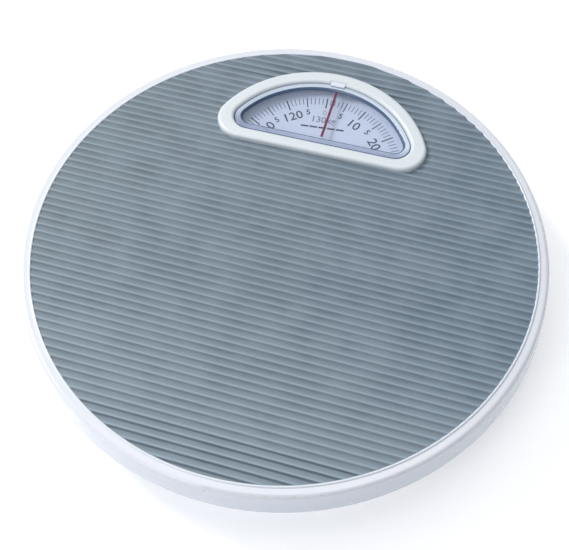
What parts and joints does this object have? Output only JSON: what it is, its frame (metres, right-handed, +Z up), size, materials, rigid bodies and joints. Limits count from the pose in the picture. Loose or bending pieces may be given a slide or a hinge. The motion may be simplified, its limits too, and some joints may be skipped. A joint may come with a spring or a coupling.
{
  "type": "bathroom scale",
  "caption": "Round mechanical bathroom scale: ribbed mat, D-shaped window over a turning dial, lever and spring weighing mechanism, rubber feet and zero knob.",
  "frame": {"origin": "on the floor, under the centre of the round platform", "axes": "+Z up; +Y from the user's heels towards the dial window; +X to the user's right"},
  "size_m": [0.2646, 0.2646, 0.0488],
  "materials": {
    "enamel": "white stove enamel, gloss",
    "ribbed_mat": "grey-blue ribbed vinyl, satin",
    "bezel": "white moulded plastic",
    "lens": "clear acrylic",
    "lens_tab": "clear moulded tab",
    "hairline": "red",
    "pan": "white enamel, satin",
    "foot_rubber": "moulded, matte",
    "zinc_steel": "zinc plated, satin",
    "hard_pins": "ground",
    "spring_wire": "bright drawn wire",
    "rivet_steel": "domed rivets",
    "brass": "turned",
    "cast_zinc": "die cast",
    "dial_face": "printed dial",
    "moulded": "moulded nylon",
    "knob": "black moulded, knurled"
  },
  "bodies": {
    "base": {"base_pan": "pan", "foot_front_left": "foot_rubber", "foot_front_right": "foot_rubber", "foot_rear_left": "foot_rubber", "foot_rear_right": "foot_rubber", "fulcrum_bracket_front_left": "zinc_steel", "fulcrum_bracket_front_right": "zinc_steel", "fulcrum_bracket_rear_left": "zinc_steel", "fulcrum_bracket_rear_right": "zinc_steel", "base_rivets": "rivet_steel", "spring_tower": "zinc_steel", "zero_lever_pin": "hard_pins", "knob_socket": "moulded", "dial_bridge": "zinc_steel", "spindle_bush": "brass", "rack_guide": "moulded", "crank_bracket": "zinc_steel", "crank_pin": "hard_pins", "return_spring_post": "zinc_steel", "retainer_studs_lower": "hard_pins", "retainer_spring_left": "spring_wire", "retainer_spring_right": "spring_wire", "main_spring": "spring_wire", "rack_return_spring": "spring_wire"},
    "platform": {"platform_shell": "enamel", "load_post_front_left": "zinc_steel", "load_post_front_right": "zinc_steel", "load_post_rear_left": "zinc_steel", "load_post_rear_right": "zinc_steel", "retainer_studs_upper": "hard_pins", "tread_mat": "ribbed_mat", "window_bezel": "bezel", "lens": "lens", "lens_tab": "lens_tab", "pointer_line": "hairline"},
    "long_lever_left": {"long_lever_left": "zinc_steel", "lever_pins_front_left": "hard_pins"},
    "long_lever_right": {"long_lever_right": "zinc_steel", "lever_pins_front_right": "hard_pins"},
    "short_lever_left": {"short_lever_left": "zinc_steel", "lever_pins_rear_left": "hard_pins"},
    "short_lever_right": {"short_lever_right": "zinc_steel", "lever_pins_rear_right": "hard_pins"},
    "yoke": {"yoke_plate": "zinc_steel", "calibration_screws": "brass", "spring_plug_lower": "cast_zinc"},
    "crank": {"crank": "zinc_steel"},
    "rack": {"rack": "brass"},
    "dial": {"pinion_spindle": "brass", "dial_hub": "moulded", "dial_disc": "dial_face", "dial_nut": "brass"},
    "zero_knob": {"zero_knob": "knob", "zero_screw": "cast_zinc"},
    "zero_lever": {"zero_lever": "zinc_steel", "zero_nut": "brass", "spring_plug_upper": "cast_zinc"}
  },
  "joints": [
    {"name": "yoke_drop", "type": "slide", "parent": "base", "child": "yoke", "axis": [0, 0, -1], "range_m": [0, 0.008], "stiffness_N_per_m": 19900, "springref_m": -0.0001, "deforming": ["main_spring"]},
    {"name": "platform_press", "type": "slide", "parent": "base", "child": "platform", "axis": [0, 0, -1], "range_m": [0, 0.00102], "deforming": ["retainer_spring_left", "retainer_spring_right"]},
    {"name": "long_lever_left_rock", "type": "hinge", "parent": "base", "child": "long_lever_left", "pos_m": [-0.07, -0.078, 0.018], "axis": [-1, 0, 0], "range_deg": [0, 2.88]},
    {"name": "long_lever_right_rock", "type": "hinge", "parent": "base", "child": "long_lever_right", "pos_m": [0.07, -0.078, 0.018], "axis": [-1, 0, 0], "range_deg": [0, 2.88]},
    {"name": "short_lever_left_rock", "type": "hinge", "parent": "base", "child": "short_lever_left", "pos_m": [-0.07, 0.078, 0.018], "axis": [1, 0, 0], "range_deg": [0, 2.88]},
    {"name": "short_lever_right_rock", "type": "hinge", "parent": "base", "child": "short_lever_right", "pos_m": [0.07, 0.078, 0.018], "axis": [1, 0, 0], "range_deg": [0, 2.88]},
    {"name": "crank_turn", "type": "hinge", "parent": "base", "child": "crank", "pos_m": [-0.016, 0.099, 0.0164], "axis": [1, 0, 0], "range_deg": [0, 41.72]},
    {"name": "rack_travel", "type": "slide", "parent": "base", "child": "rack", "axis": [0, -1, 0], "range_m": [0, 0.01258], "deforming": ["rack_return_spring"]},
    {"name": "dial_spin", "type": "hinge", "parent": "base", "child": "dial", "pos_m": [0, 0.054, 0.0392], "axis": [0, 0, 1], "range_deg": [0, 360.2]},
    {"name": "zero_knob_turn", "type": "hinge", "parent": "base", "child": "zero_knob", "pos_m": [0, 0.113, 0.016], "axis": [0, 0, 1], "range_deg": [-360, 360]},
    {"name": "zero_lever_tilt", "type": "hinge", "parent": "base", "child": "zero_lever", "pos_m": [0, 0.097, 0.0348], "axis": [1, 0, 0], "range_deg": [-1.85, 1.85]}
  ],
  "couplings": [
    {"joint": "platform_press", "follows": "yoke_drop", "ratio": 0.125},
    {"joint": "long_lever_left_rock", "follows": "yoke_drop", "rad_per_m": 6.25},
    {"joint": "long_lever_right_rock", "follows": "yoke_drop", "rad_per_m": 6.25},
    {"joint": "short_lever_left_rock", "follows": "yoke_drop", "rad_per_m": 6.25},
    {"joint": "short_lever_right_rock", "follows": "yoke_drop", "rad_per_m": 6.25},
    {"joint": "crank_turn", "follows": "yoke_drop", "rad_per_m": 90.932},
    {"joint": "rack_travel", "follows": "yoke_drop", "ratio": 1.5708},
    {"joint": "dial_spin", "follows": "yoke_drop", "rad_per_m": 785.4},
    {"joint": "zero_lever_tilt", "follows": "zero_knob_turn", "ratio": 0.0049736}
  ]
}
